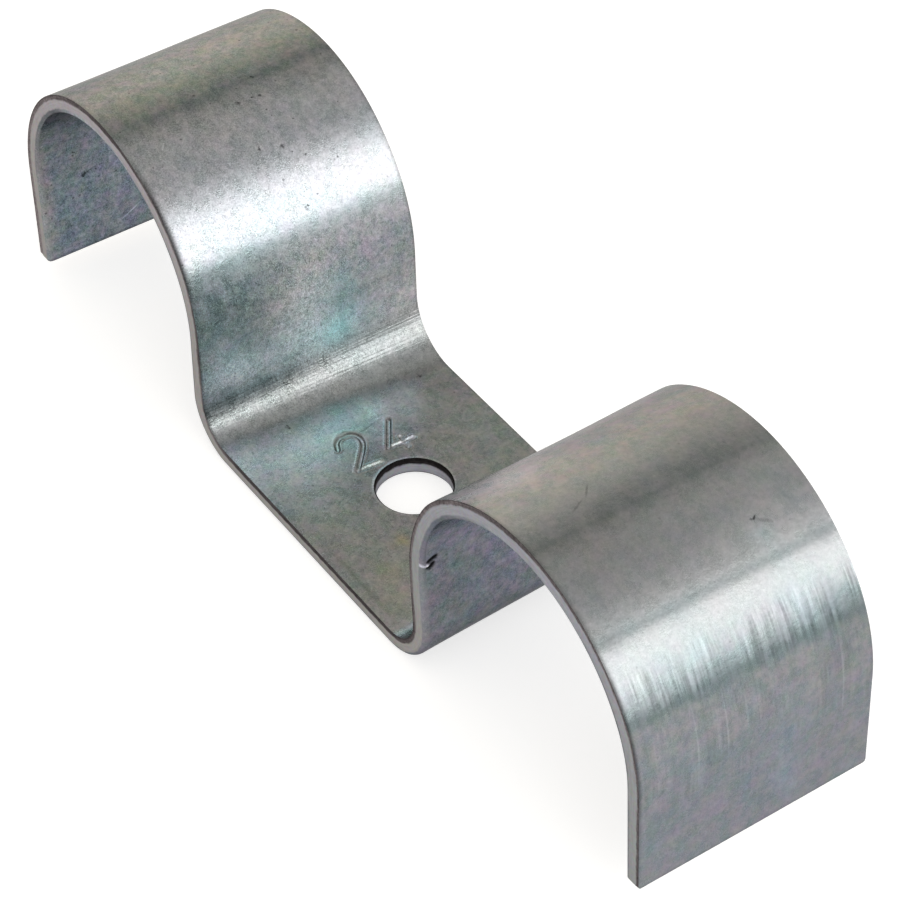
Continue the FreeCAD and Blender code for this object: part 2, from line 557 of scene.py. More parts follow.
def around_hole(x, y):
    """Bend the square grid round the screw hole, so that its inner square becomes a circle."""
    reach = np.maximum(np.abs(x), np.abs(y))
    share = np.clip((reach - HOLE_SQUARE) / (HOLE_SPREAD - HOLE_SQUARE), 0, 1)
    length = np.maximum(np.hypot(x, y), TINY)
    ring = HOLE_RADIUS + (HOLE_SPREAD - HOLE_RADIUS) * share
    ease = smooth(share)
    return (
        x * ease + x / length * ring * (1 - ease),
        y * ease + y / length * ring * (1 - ease),
    )


def rounded_stroke(points):
    """Cut the corners of a stroke a few times, so that it runs in a curve."""
    points = np.array(points)
    if len(points) < 3:
        return points
    for _ in range(STROKE_ROUNDINGS):
        before, after = points[:-1], points[1:]
        cut = np.stack([before * 0.75 + after * 0.25, before * 0.25 + after * 0.75], axis=1)
        points = np.vstack([points[:1], cut.reshape(-1, 2), points[-1:]])
    return points


def distance_to_stroke(x, y, stroke):
    """Distance from each point to the nearest part of a stroke."""
    nearest = np.full(x.shape, np.inf)
    for start, end in zip(stroke[:-1], stroke[1:]):
        run = end - start
        share = ((x - start[0]) * run[0] + (y - start[1]) * run[1]) / max(run @ run, TINY)
        share = np.clip(share, 0, 1)
        gap = np.hypot(x - start[0] - share * run[0], y - start[1] - share * run[1])
        nearest = np.minimum(nearest, gap)
    return nearest


def distance_to_strokes(x, y, strokes):
    """Distance from each point to the nearest of several strokes."""
    gaps = [distance_to_stroke(x, y, rounded_stroke(stroke)) for stroke in strokes]
    return np.min(gaps, axis=0)


def stamped_number(x, y):
    """Height of the top face round the stamped digits, and their painted shade and light."""
    light = np.ones(x.shape)
    nearest = np.full(x.shape, np.inf)
    for stroke in SIZE_NUMBER:
        gap = distance_to_strokes(x, y, [stroke.points])
        wall = np.exp(-(((gap - GROOVE_HALF_WIDTH) / (GROOVE_WALL / 2)) ** 2))
        light *= 1 - stroke.shade * wall
        nearest = np.minimum(nearest, gap)
    inner = GROOVE_HALF_WIDTH - GROOVE_WALL / 2
    groove = -GROOVE_DEPTH * (1 - smooth((nearest - inner) / GROOVE_WALL))
    lip = LIP_HEIGHT * np.exp(-(((nearest - LIP_OFFSET) / LIP_WIDTH) ** 2))
    light *= 1 + (GROOVE_FLOOR_LIGHT - 1) * (1 - smooth(nearest / inner))
    return groove + lip, light


def nick(points):
    """Depth of the nick at points of the sheet, and its painted shade and painted highlight."""
    nearby = (points > NICK_LOWEST).all(axis=-1) & (points < NICK_HIGHEST).all(axis=-1)
    y, z = points[nearby, 1], points[nearby, 2]
    gap = distance_to_strokes(y, z, NICK_GOUGES)
    gouge = smooth(NICK_STEEPNESS * (1 - gap / NICK_HALF_WIDTH))
    burr = smooth(1 - distance_to_strokes(y, z, NICK_BURRS) / BURR_HALF_WIDTH)
    depth = np.zeros(points.shape[:-1])
    light = np.ones(points.shape[:-1])
    depth[nearby] = NICK_DEPTH * gouge - BURR_HEIGHT * burr
    light[nearby] = (1 - NICK_SHADE * gouge) * (1 + BURR_LIGHT * burr)
    return depth, light


# Meshing the blank

RimLevel = namedtuple("RimLevel", "height inset corner_growth torn")


def rim_levels():
    """The cut wall from the top edge down to the end of the roll, as a list of levels."""
    levels = []
    for share, growth in zip(TORN_HEIGHTS, TORN_CORNER_GROWTH):
        levels.append(RimLevel(share * SHEET_THICKNESS, 0.0, growth, 1.0))
    levels += [RimLevel(share * SHEET_THICKNESS, 0.0, 0.0, 0.0) for share in BURNISHED_HEIGHTS]
    for step in range(ROLL_STEPS + 1):
        turn = pi / 2 * step / ROLL_STEPS
        rolled = 1 - cos(turn)
        height = ROLL_DEPTH * (1 - sin(turn))
        levels.append(RimLevel(height, ROLL_WIDTH * rolled, ROLL_CORNER_GROWTH * rolled, 0.0))
    return levels


def corner_radius(x, y, growth):
    """Radius of the blank's nearest corner, which is worn rounder at the left near one."""
    left_near = (x < 0) & (y < 0)
    return np.where(left_near, LEFT_NEAR_CORNER_RADIUS, CORNER_RADIUS) + growth


def rim_inset(level, z):
    """How far the rim is rolled back at a level: widely on the legs, sharply on the crowns."""
    narrowed = smooth((z - ROLL_NARROWS_FROM) / ROLL_NARROWS_OVER)
    return level.inset * (1 - (1 - CROWN_ROLL_SHARE) * narrowed)


def end_gaps(strip):
    """Distance from each place of a grid over the strip to the nearer free end."""
    along = strip[..., 0]
    return np.minimum(along - along[0, 0], along[-1, 0] - along)


def trimmed_points(section, strip, end_gap, level, height):
    """Points of the sheet at a height, trimmed to a level of the rim."""
    across = strip[..., 1]
    corner = corner_radius(section.x, across, level.corner_growth)
    inset = rim_inset(level, section.z)
    new_end_gap, side_gap = trimmed(end_gap, HALF_WIDTH - np.abs(across), inset, corner)
    across = np.sign(across) * (HALF_WIDTH - side_gap)
    return on_sheet(section, across, height, end_gap - new_end_gap)


def face_points(section, strip, level, height):
    """One face of the sheet as a grid of points, bent round the screw hole."""
    points = trimmed_points(section, strip, end_gaps(strip), level, height)
    near_hole = np.maximum(np.abs(points[..., 0]), np.abs(points[..., 1])) < HOLE_SPREAD
    near_hole &= points[..., 2] < FOOT_HEIGHT
    x, y = around_hole(points[near_hole, 0], points[near_hole, 1])
    points[near_hole, 0] = x
    points[near_hole, 1] = y
    return points


class Blank:
    """Collects the strap's points and faces, with what the materials read at each point."""

    def __init__(self):
        self.points = []
        self.faces = []
        self.strip = []
        self.cut = []
        self.tint = []
        self.material = []
        self.count = 0

    def add_points(self, points, strip, cut, tint=UNDERSIDE_TINT):
        """Add an array of points and return their indices in the same shape."""
        flat = points.reshape(-1, 3)
        self.points.append(flat)
        self.strip.append(strip.reshape(-1, 2))
        self.cut.append(cut.reshape(-1, 4))
        tint = np.array(tint) + np.zeros(points.shape)
        self.tint.append(np.insert(tint.reshape(-1, 3), 3, 1.0, axis=1))
        indices = np.arange(self.count, self.count + len(flat)).reshape(points.shape[:-1])
        self.count += len(flat)
        return indices

    def add_ring(self, *values):
        """Add a ring of points, given with the first one repeated, and return its indices."""
        row = self.add_points(*[value[:-1] for value in values])
        return np.append(row, row[0])

    def add_sheet(self, indices, material, keep=None, flip=False):
        """Add the quads between neighbouring rows and columns of indices."""
        corners = [indices[:-1, :-1], indices[1:, :-1], indices[1:, 1:], indices[:-1, 1:]]
        if flip:
            corners.reverse()
        quads = np.stack(corners, axis=-1).reshape(-1, 4)
        if keep is not None:
            quads = quads[keep.ravel()]
        self.faces.append(quads)
        self.material.append(np.full(len(quads), material))


def ring_of(grid):
    """Values round the edge of a grid, in order, with the first one repeated at the end."""
    return np.concatenate([grid[:-1, 0], grid[-1, :-1], grid[:0:-1, -1], grid[0, ::-1]])


def cut_values(along, depth):
    """Depth in the cut wall, with the torn band's share and tone and the rim's light there."""
    places, *columns = zip(*CUT_BANDS)
    values = [np.interp(along, places, column) for column in columns]
    return np.stack([depth + 0 * along] + values, axis=-1)


def hole_cut_values(depth):
    """The same for the wall of the screw hole, over an array of depths."""
    return np.stack([depth] + [value + 0 * depth for value in HOLE_CUT_BAND], axis=-1)


def build_blank():
    """The strap's mesh data: both faces, the cut wall all round and the hole's wall."""
    section, hole_station = whole_section()
    lengths = strip_lengths(section, hole_station)
    strip = np.stack(np.broadcast_arrays(lengths[:, None], ACROSS), axis=-1)
    levels = rim_levels()
    top = face_points(section, strip, levels[0], SHEET_THICKNESS)
    underside = face_points(section, strip, levels[-1], 0)
    top_height, top_tint = top_finish(top, strip)
    underside_height, underside_tint = underside_finish(underside, strip)
    top = top + normals(section) * top_height[..., None]
    underside = underside + normals(section) * underside_height[..., None]

    x = section.x[:, 0]
    open_stations = (np.abs(x) < HOLE_SQUARE + TINY) & (section.z[:, 0] < SHEET_THICKNESS)
    open_lines = np.abs(ACROSS) < HOLE_SQUARE + TINY
    in_hole = open_stations[:, None] & open_lines[None, :]
    top_cut = cut_values(strip[..., 0], 0)
    underside_cut = cut_values(strip[..., 0], 1)
    top_cut[in_hole] = hole_cut_values(np.zeros(in_hole.sum()))
    underside_cut[in_hole] = hole_cut_values(np.ones(in_hole.sum()))

    blank = Blank()
    top_indices = blank.add_points(top, strip, top_cut, top_tint)
    underside_strip = strip + np.array([0, UNDERSIDE_SHIFT])
    underside_indices = blank.add_points(
        underside, underside_strip, underside_cut, underside_tint
    )
    keep = ~(in_hole[:-1, :-1] & in_hole[1:, 1:])
    blank.add_sheet(top_indices, 0, keep)
    blank.add_sheet(underside_indices, 0, keep, flip=True)
    add_cut_wall(blank, section, strip, levels, top_indices, underside_indices)
    hole_rows = np.ix_(open_stations, open_lines)
    add_hole_wall(blank, top_indices[hole_rows], underside_indices[hole_rows])
    return blank


def tint_and_painted_light(strip, patches):
    """How patches of plating tint and of painted light and shade tint a face, over strip
    coordinates.
    """
    tint = np.ones(strip.shape[:-1] + (3,))
    for *spot, spot_tint in patches:
        share = spot_share(strip[..., 0], strip[..., 1], spot)[..., None]
        tint *= 1 + (np.array(spot_tint) - 1) * share
    return tint


def top_finish(points, strip):
    """Height and tint of the top face: plating clouds, painted light and shade, the stamped
    number.
    """
    height = face_relief(points, seed=1)
    tint = tint_and_painted_light(strip, PLATING_AND_PAINTED_LIGHT_PATCHES)
    tint *= free_end_light(end_gaps(strip), TOP_END_SHADE)
    on_foot = (np.abs(points[..., 0]) < FOOT_LINES_END) & (points[..., 2] < FOOT_HEIGHT)
    x, y = points[on_foot, 0], points[on_foot, 1]
    number, light = stamped_number(x, y)
    rim = np.exp(-(((np.hypot(x, y) - HOLE_RADIUS) / HOLE_BURR_WIDTH) ** 2))
    height[on_foot] += number + HOLE_BURR_HEIGHT * rim
    tint[on_foot] *= light[:, None]
    return height, tint


def free_end_light(end_gap, shade):
    """Light that a face keeps towards its free ends, over an array of gaps to them."""
    return 1 - shade * smooth(1 - end_gap / FREE_END_REACH)[..., None]


def underside_finish(points, strip):
    """Depth and tint of the underside, with painted shade where it lies on the wall and at its
    ends.
    """
    depth = -face_relief(points, seed=2)
    raised = smooth((points[..., 2:] - RESTING_HEIGHT) / RESTING_FADE)
    resting = np.array(RESTING_PAINTED_SHADE)
    tint = resting + (np.array(UNDERSIDE_TINT) - resting) * raised
    tint *= free_end_light(end_gaps(strip), FREE_END_SHADE)
    tint *= tint_and_painted_light(strip, UNDERSIDE_AND_PAINTED_LIGHT_PATCHES)
    nick_depth, light = nick(points)
    return depth + nick_depth, tint * light[..., None]


def normals(section):
    """Normals of the sheet as an array of vectors."""
    return np.stack([section.normal_x, 0 * section.x, section.normal_z], axis=-1)


def face_relief(points, seed):
    """Slow unevenness of a face, always into the sheet."""
    waves = noise_field(points, WAVE_LENGTH, seed) * (1 - SHORT_WAVE_SHARE)
    waves += noise_field(points, SHORT_WAVE_LENGTH, seed + 5) * SHORT_WAVE_SHARE
    return -WAVE_DEPTH * (0.5 + 0.5 * waves)


def add_cut_wall(blank, section, strip, levels, top_indices, underside_indices):
    """The sheared wall round the blank, with its torn band, burnished band and roll."""
    section = Section(*[ring_of(values) for values in section])
    end_gap = ring_of(end_gaps(strip))
    strip = ring_of(strip)
    along, across = strip[:, 0], strip[:, 1]
    side = np.where(HALF_WIDTH - np.abs(across) < TINY, np.sign(across), 0)
    tint = UNDERSIDE_TINT * free_end_light(end_gap, FREE_END_SHADE)
    tint *= tint_and_painted_light(strip, UNDERSIDE_AND_PAINTED_LIGHT_PATCHES)
    rows = [ring_of(top_indices)]
    for level in levels[1:-1]:
        points = trimmed_points(section, strip, end_gap, level, level.height)
        ragged = noise_field(points, TEAR_WAVE_LENGTH, TEAR_SEED) * 0.5 + 0.5
        points[:, 1] -= side * level.torn * TORN_RAGGEDNESS * ragged
        nick_depth, light = nick(points)
        points += normals(section) * nick_depth[:, None]
        drop = SHEET_THICKNESS - level.height
        wall_strip = np.stack([along, across + side * drop], axis=-1)
        cut = cut_values(along, drop / SHEET_THICKNESS)
        rows.append(blank.add_ring(points, wall_strip, cut, tint * light[:, None]))
    rows.append(ring_of(underside_indices))
    blank.add_sheet(np.array(rows), 1, flip=True)


def hole_profile():
    """The hole's wall from the top down, as heights and how far it lies outside the radius."""
    profile = []
    for share, opened in HOLE_WALL_LEVELS:
        profile.append((share * SHEET_THICKNESS, -opened * HOLE_EDGE_BREAK))
    for step in range(ROLL_STEPS):
        turn = pi / 2 * step / ROLL_STEPS
        spread = (HOLE_ROLL + HOLE_EDGE_BREAK) * (1 - cos(turn)) - HOLE_EDGE_BREAK
        profile.append((HOLE_ROLL * (1 - sin(turn)), spread))
    return profile


def add_hole_wall(blank, top_indices, underside_indices):
    """The punched wall of the screw hole, torn at the top and rolled at the underside."""
    rows = [ring_of(top_indices)]
    direction = np.vstack(blank.points)[rows[0]] * np.array([1, 1, 0])
    direction /= np.linalg.norm(direction, axis=1, keepdims=True)
    angle = np.arctan2(direction[:, 1], direction[:, 0])
    for height, spread in hole_profile():
        wall = direction * (HOLE_RADIUS + spread) + np.array([0, 0, height])
        drop = SHEET_THICKNESS - height + 0 * angle
        strip = np.stack([angle * HOLE_RADIUS, HOLE_WALL_SHIFT + drop], axis=-1)
        cut = hole_cut_values(HOLE_DEPTH_SHARE * drop / SHEET_THICKNESS)
        rows.append(blank.add_ring(wall, strip, cut))
    rows.append(ring_of(underside_indices))
    blank.add_sheet(np.array(rows), 1)


def add_object(name, data):
    """A new object in the scene that shows a mesh or a camera."""
    added = bpy.data.objects.new(name, data)
    bpy.context.scene.collection.objects.link(added)
    return added


def make_strap():
    """The strap as a Blender object."""
    blank = build_blank()
    points = np.vstack(blank.points)
    faces = np.vstack(blank.faces)
    strip = np.vstack(blank.strip)
    mesh = bpy.data.meshes.new("folded_strap")
    mesh.from_pydata((points * MM).tolist(), [], faces.tolist())
    mesh.polygons.foreach_set("material_index", np.concatenate(blank.material))
    corner_points = np.zeros(len(mesh.loops), dtype=np.int32)
    mesh.loops.foreach_get("vertex_index", corner_points)
    uv = mesh.uv_layers.new(name="strip")
    uv.data.foreach_set("uv", strip[corner_points].astype(np.float32).ravel())
    # The cut wall's values, and the tint with its painted light and shade, kept on the points
    for name, values in (("cut_wall", blank.cut), ("tint_and_painted_light", blank.tint)):
        attribute = mesh.attributes.new(name, "FLOAT_COLOR", "POINT")
        attribute.data.foreach_set("color", np.vstack(values).astype(np.float32).ravel())
    mesh.validate()
    mesh.update()
    mesh.polygons.foreach_set("use_smooth", np.ones(len(mesh.polygons), dtype=bool))
    mesh.set_sharp_from_angle(angle=SHARP_EDGE)
    return add_object("folded_strap", mesh)


# Materials

class Value:
    """A number that a shader node gives, for use in plain arithmetic."""

    def __init__(self, nodes, socket):
        self.nodes = nodes
        self.socket = socket

    def __add__(self, other):
        return self.nodes.math("ADD", self, other)

    def __mul__(self, other):
        return self.nodes.math("MULTIPLY", self, other)

    def __sub__(self, other):
        return self.nodes.math("SUBTRACT", self, other)

    def __rsub__(self, other):
        return self.nodes.math("SUBTRACT", other, self)

    def __abs__(self):
        return self.nodes.math("ABSOLUTE", self)

    __radd__ = __add__
    __rmul__ = __mul__


class Nodes:
    """A short way to write a node tree."""

    def __init__(self, tree):
        self.tree = tree
        self.tree.nodes.clear()

    def fill(self, target, value):
        """Link an input to what comes from a node, or set it to a constant."""
        if isinstance(value, Value):
            value = value.socket
        if isinstance(value, bpy.types.NodeSocket):
            self.tree.links.new(value, target)
        else:
            target.default_value = value

    def add(self, kind, inputs=None, **settings):
        """Add a shader node, set its properties, fill its inputs and return its outputs."""
        node = self.tree.nodes.new("ShaderNode" + kind)
        for name, value in settings.items():
            setattr(node, name, value)
        for name, value in (inputs or {}).items():
            self.fill(node.inputs[name], value)
        return node.outputs

    def math(self, operation, first, second=0):
        """A math node's result."""
        outputs = self.add("Math", {0: first, 1: second}, operation=operation)
        return Value(self, outputs[0])

    def most(self, first, *others):
        """The largest of several values."""
        for other in others:
            first = self.math("MAXIMUM", first, other)
        return first

    def measure(self, operation, first, second=(0, 0, 0)):
        """A number that is measured on vectors, such as a length or a distance."""
        inputs = {0: first, 1: second}
        outputs = self.add("VectorMath", inputs, operation=operation)
        return Value(self, outputs["Value"])

    def split(self, vector, kind="SeparateXYZ"):
        """The three parts of a vector or colour."""
        return [Value(self, part) for part in self.add(kind, {0: vector})]

    def noise(self, vector, scale, detail=2, roughness=0.5):
        """A noise texture's value and colour."""
        inputs = {"Vector": vector, "Scale": scale, "Detail": detail, "Roughness": roughness}
        outputs = self.add("TexNoise", inputs)
        return Value(self, outputs[0]), outputs[1]

    def remap(self, value, low, high, new_low=0, new_high=1, curve="SMOOTHSTEP"):
        """A value moved from one range to another, and held at its ends."""
        inputs = {0: value, 1: low, 2: high, 3: new_low, 4: new_high}
        outputs = self.add("MapRange", inputs, interpolation_type=curve)
        return Value(self, outputs[0])

    def blend(self, share, first, second):
        """The first value at a share of 0, the second one at 1 and in step between them."""
        return self.remap(share, 0, 1, first, second, "LINEAR")

    def mix(self, factor, first, second, blend_type="MIX"):
        """A mix of two colours."""
        inputs = {0: factor, 6: first, 7: second}
        return self.add("Mix", inputs, data_type="RGBA", blend_type=blend_type)[2]


def new_material(name):
    """A material with an empty node tree."""
    material = bpy.data.materials.new(name)
    material.use_nodes = True
    return material, Nodes(material.node_tree)


def opaque(red, green, blue):
    """A colour with full alpha."""
    return (red, green, blue, 1)


# Colours of the plating, then of the cut wall
PLATING_GREY = opaque(0.322, 0.345, 0.355)
PLATING_PALE = opaque(0.347, 0.355, 0.36)
PLATING_LILAC = opaque(0.36, 0.345, 0.375)
PLATING_TEAL = opaque(0.285, 0.35, 0.357)
GLANCING_TINT = opaque(0.55, 0.55, 0.55)
BURNISHED_LEG = opaque(0.5, 0.485, 0.475)
BURNISHED_CROWN = opaque(0.52, 0.49, 0.53)
BURNISHED_SCORE = opaque(0.36, 0.34, 0.33)
RIGHT_SIDE_TINT = opaque(0.86, 0.92, 0.96)
ROLLED_TINT = opaque(0.86, 0.84, 0.84)

# Stretches of the strip where the surface looks different: the middle, then the distances from
# it where the difference starts to fade and where it has gone
Stretch = namedtuple("Stretch", "middle full faded")

LEFT_FOLD = Stretch(-13.8, 1.6, 3.2)
HIGHLIGHTS = [Stretch(-30.5, 2.5, 5.5), Stretch(55, 3, 5), LEFT_FOLD]
CALM_STRETCHES = [Stretch(-36, 3.5, 6), Stretch(48, 5.5, 9), LEFT_FOLD]
RIPPLED_FOLD = Stretch(-14.8, 0.8, 1.8)
COARSE_LEG = Stretch(-20, 4.5, 8.5)
DRAW_MARKS = Stretch(57.2, 1, 2.2)
FAINT_DRAW_MARKS = Stretch(62, 3, 9)

# Where a change starts and ends: along the strip, then across it and above the wall
COARSE_END = (-10, 35)
FREE_LEG_START = (55, 62)
UNDERSIDE_CALM_START = (-10, 10)
LARGE_PITS_END = (-45, -25)
DARK_PITS_END = (-30, 30)
RIGHT_SIDE_START = (14, 24)
FAR_HALF_START = (0, 7)
CROWN_START = (10, 22)

# Noise of the surface: features per millimetre, detail and roughness
CLOUDS = (0.18, 4, 0.6)
MOTTLE = (0.8, 3, 0.6)
BLOTCHES = (2.6, 2, 0.6)
GRAIN = (8.5, 1.5, 0.7)
EDGE_WOBBLE = (1.1, 4, 0.65)
TORN_GRAIN = (3.2, 3, 0.7)

# Depth in the cut wall as a share of it: where the roll starts, and how softly the torn band
# ends about its own depth
ROLL_START = (0.72, 0.84)
TORN_END = (-0.05, 0.07)


def strap_coordinates(nodes):
    """Place in the strap in millimetres, and place on the strip, along and across it."""
    place = nodes.add("TexCoord")["Object"]
    scale = (1 / MM, 1 / MM, 1 / MM)
    place = nodes.add("Mapping", {"Vector": place, "Scale": scale})[0]
    return place, nodes.add("UVMap", uv_map="strip")[0]


def stretched_noise(nodes, strip, along, across, detail=3):
    """Noise drawn out along the strip: the counts are features per millimetre each way."""
    mapped = nodes.add("Mapping", {"Vector": strip, "Scale": (along, across, 1)})
    return nodes.noise(mapped[0], 1, detail)[0]


def swing(nodes, value, reach):
    """A noise value moved to lie about zero, out to the reach on either side."""
    return nodes.remap(value, 0.2, 0.8, -reach, reach, "LINEAR")


def within(nodes, along, *stretches):
    """1 in the middle of any of the stretches and 0 where they have all faded."""
    shares = []
    for stretch in stretches:
        gap = abs(along - stretch.middle)
        shares.append(nodes.remap(gap, stretch.full, stretch.faded, 1, 0))
    return nodes.most(*shares)


def roll_mark_shade(nodes, along):
    """How much light the painted shade of the lines across the strip leaves, as a factor."""
    light = 1
    for middle, half_width, shade in ROLL_MARK_SHADES:
        light = light * nodes.remap(abs(along - middle), 0, 2 * half_width, 1 - shade, 1)
    return light


def specks(nodes, strip):
    """Where the listed dark specks are, from 0 to 1.

    The noise that makes them ragged also moves every place by about 0.5 each way, so their
    centres are moved as far.
    """
    wander = nodes.noise(strip, 2.3)[1]
    ragged = nodes.add("VectorMath", {0: wander, 1: strip}, operation="ADD")[0]
    spots = []
    for along, across, radius in SPECKS:
        gap = nodes.measure("DISTANCE", ragged, (along + 0.5, across + 0.5, 0.5))
        spots.append(nodes.remap(gap, 0, radius * 1.2, 1, 0))
    return nodes.most(*spots)


def pits(nodes, place, along, mottle):
    """How dark the pits of the plating are, from 0 to 1; they are largest towards the left."""
    gap = nodes.add("TexVoronoi", {"Vector": place, "Scale": 1.5})["Distance"]
    size = nodes.remap(mottle, 0.45, 0.75, 0.03, 0.17)
    size = size * nodes.remap(along, *LARGE_PITS_END, 1.35, 1)
    dark = nodes.remap(along, *DARK_PITS_END, 0.6, 0.3)
    return nodes.math("LESS_THAN", gap, size) * dark


def scratches(nodes, strip):
    """Light that the scratches add, below zero where they are dark."""
    light = 0
    for along, across, half_length, half_width, turn, added in SCRATCHES:
        placing = {
            "Vector": strip,
            "Location": (along, across, 0),
            "Rotation": (0, 0, radians(turn)),
            "Scale": (half_length, half_width, 1),
        }
        own = nodes.add("Mapping", placing, vector_type="TEXTURE")[0]
        light = light + nodes.remap(nodes.measure("LENGTH", own), 0.3, 1.3, added, 0)
    return light


def streaks(nodes, strip, along):
    """Light added and taken by the draw marks of the right free leg, and their height."""
    fine = stretched_noise(nodes, strip, 0.22, 4.2)
    broad = stretched_noise(nodes, strip, 0.12, 1.5)
    streak = (fine + broad) * 0.5
    wisps = nodes.remap(stretched_noise(nodes, strip, 0.3, 0.45, 2), 0.38, 0.62, 0.25, 1.25)
    depth = within(nodes, along, DRAW_MARKS) * 0.22
    depth = depth + within(nodes, along, FAINT_DRAW_MARKS) * 0.08
    return depth * wisps * nodes.remap(streak, 0.36, 0.64, -1, 1), streak


def coarseness(nodes, along, across, is_underside):
    """How strong the fine grain is, and how strong the larger blotches are."""
    left = 1 - nodes.remap(along, *COARSE_END)
    coarse = within(nodes, along, COARSE_LEG) + left
    fine = coarse * 0.75 + nodes.remap(along, *FREE_LEG_START, 0.34, 0.5)
    fine = fine * nodes.remap(across, *FAR_HALF_START, 1, 0.62)
    below = nodes.remap(along, *UNDERSIDE_CALM_START, 1.35, 0.9)
    fine = nodes.blend(is_underside, fine, below)
    return fine, nodes.blend(is_underside, coarse * 0.6 + 0.72, below * 1.8)


def zinc_colour(nodes, cloud, mottle, blotch, tinting, clouding):
    """Tint of the plating: lilac and teal clouds over grey, and the listed patches of plating
    tint and painted light and shade.
    """
    colour = nodes.mix(nodes.remap(cloud[0], 0.36, 0.64), PLATING_GREY, PLATING_PALE)
    lilac = nodes.mix(nodes.remap(mottle[0], 0.38, 0.62), colour, PLATING_LILAC)
    colour = nodes.mix(clouding * 0.6, colour, lilac)
    teal = nodes.mix(nodes.remap(cloud[1], 0.45, 0.65), colour, PLATING_TEAL)
    colour = nodes.mix(clouding * 0.5, colour, teal)
    # Patches of plating tint with painted light and shade, read from the mesh
    patches = nodes.add("Attribute", attribute_name="tint_and_painted_light")["Color"]
    colour = nodes.mix(1, colour, patches, "MULTIPLY")
    colour = nodes.mix(tinting, colour, mottle[1], "OVERLAY")
    return nodes.mix(tinting * 0.3, colour, blotch[1], "OVERLAY")


def zinc_look(nodes, place, strip):
    """Colour, roughness and surface height of the zinc plating."""
    along, across, _ = nodes.split(strip)
    is_underside = nodes.math("GREATER_THAN", across, UNDERSIDE_SHIFT - HALF_WIDTH - 1)
    cloud = nodes.noise(place, *CLOUDS)
    mottle = nodes.noise(place, *MOTTLE)
    blotch = nodes.noise(place, *BLOTCHES)
    grain = nodes.noise(place, *GRAIN)[0]
    tinting = nodes.remap(within(nodes, along, *HIGHLIGHTS), 0, 1, 0.16, 0.05)
    tinting = nodes.blend(is_underside, tinting, 0.27)
    clouding = nodes.remap(within(nodes, along, *CALM_STRETCHES), 0, 1, 1, 0.45)
    colour = zinc_colour(nodes, cloud, mottle, blotch, tinting * clouding, clouding)

    fine, broad = coarseness(nodes, along, across, is_underside)
    patchy = swing(nodes, mottle[0], 0.14) + swing(nodes, blotch[0], 0.15)
    light = swing(nodes, grain, 0.36) * fine + 1 + patchy * broad
    streak_light, streak = streaks(nodes, strip, along)
    ripple = nodes.remap(stretched_noise(nodes, strip, 5, 0.05, 1), 0.3, 0.7, -1, 1)
    ripple = ripple * within(nodes, along, RIPPLED_FOLD)
    light = light + streak_light + ripple * 0.12 + scratches(nodes, strip)
    dark = nodes.most(pits(nodes, place, along, mottle[0]), specks(nodes, strip))
    light = light * nodes.remap(dark, 0, 1, 1, 0.2)
    # Painted shade where the roll marks reflect darker, a little cooler in green and blue
    marks = roll_mark_shade(nodes, along)
    cool_light = light * nodes.blend(marks, 0.16, 1)
    light = nodes.add("CombineXYZ", {0: light * marks, 1: cool_light, 2: cool_light})
    lit = nodes.add("VectorMath", {0: colour, 1: light[0]}, operation="MULTIPLY")[0]

    rough = nodes.remap(mottle[0], 0.3, 0.7, 0.25, 0.31)
    height = grain * fine + streak * 0.3 + blotch[0] * 0.9 + marks * 2 + ripple * 0.5
    return lit, rough, height


def metal(nodes, colour, rough, height):
    """A metal shader with that colour, roughness and relief, linked to the material's output."""
    bump = nodes.add("Bump", {"Height": height, "Distance": GRAIN_RELIEF})
    inputs = {
        "Base Color": colour,
        "Metallic": 1,
        "Roughness": rough,
        "Specular Tint": GLANCING_TINT,
        "Normal": bump[0],
    }
    shader = nodes.add("BsdfPrincipled", inputs)
    nodes.add("OutputMaterial", {"Surface": shader[0]})


def zinc_face_material():
    """Zinc plating on rolled sheet: cloudy tints, fine grain, pits and streaks."""
    material, nodes = new_material("zinc_face")
    metal(nodes, *zinc_look(nodes, *strap_coordinates(nodes)))
    return material


def burnished_colour(nodes, place, smear, crown, right_side):
    """Colour of the burnished band, scored along the strip and cooler at the right."""
    colour = nodes.mix(crown, BURNISHED_LEG, BURNISHED_CROWN)
    scored = nodes.mix(nodes.remap(smear, 0.35, 0.7), colour, BURNISHED_SCORE)
    colour = nodes.mix(0.45, colour, scored)
    colour = nodes.mix(0.2, colour, nodes.noise(place, 3, 3)[1], "OVERLAY")
    return nodes.mix(right_side, colour, RIGHT_SIDE_TINT, "MULTIPLY")


def torn_colour(nodes, place, smear, depth, tone):
    """Colour of the torn band: rough and brownish, and darkest at the top edge."""
    tear = nodes.noise(place, *TORN_GRAIN)[0]
    light = nodes.remap(smear, 0.3, 0.7, 0.7, 1.3) + swing(nodes, tear, 0.7)
    light = nodes.most(light, 0.3) * nodes.remap(depth, 0, 0.12, 0.55, 1.05) * tone
    return nodes.add("CombineXYZ", {0: light * 1.14, 1: light, 2: light * 1.05})[0]


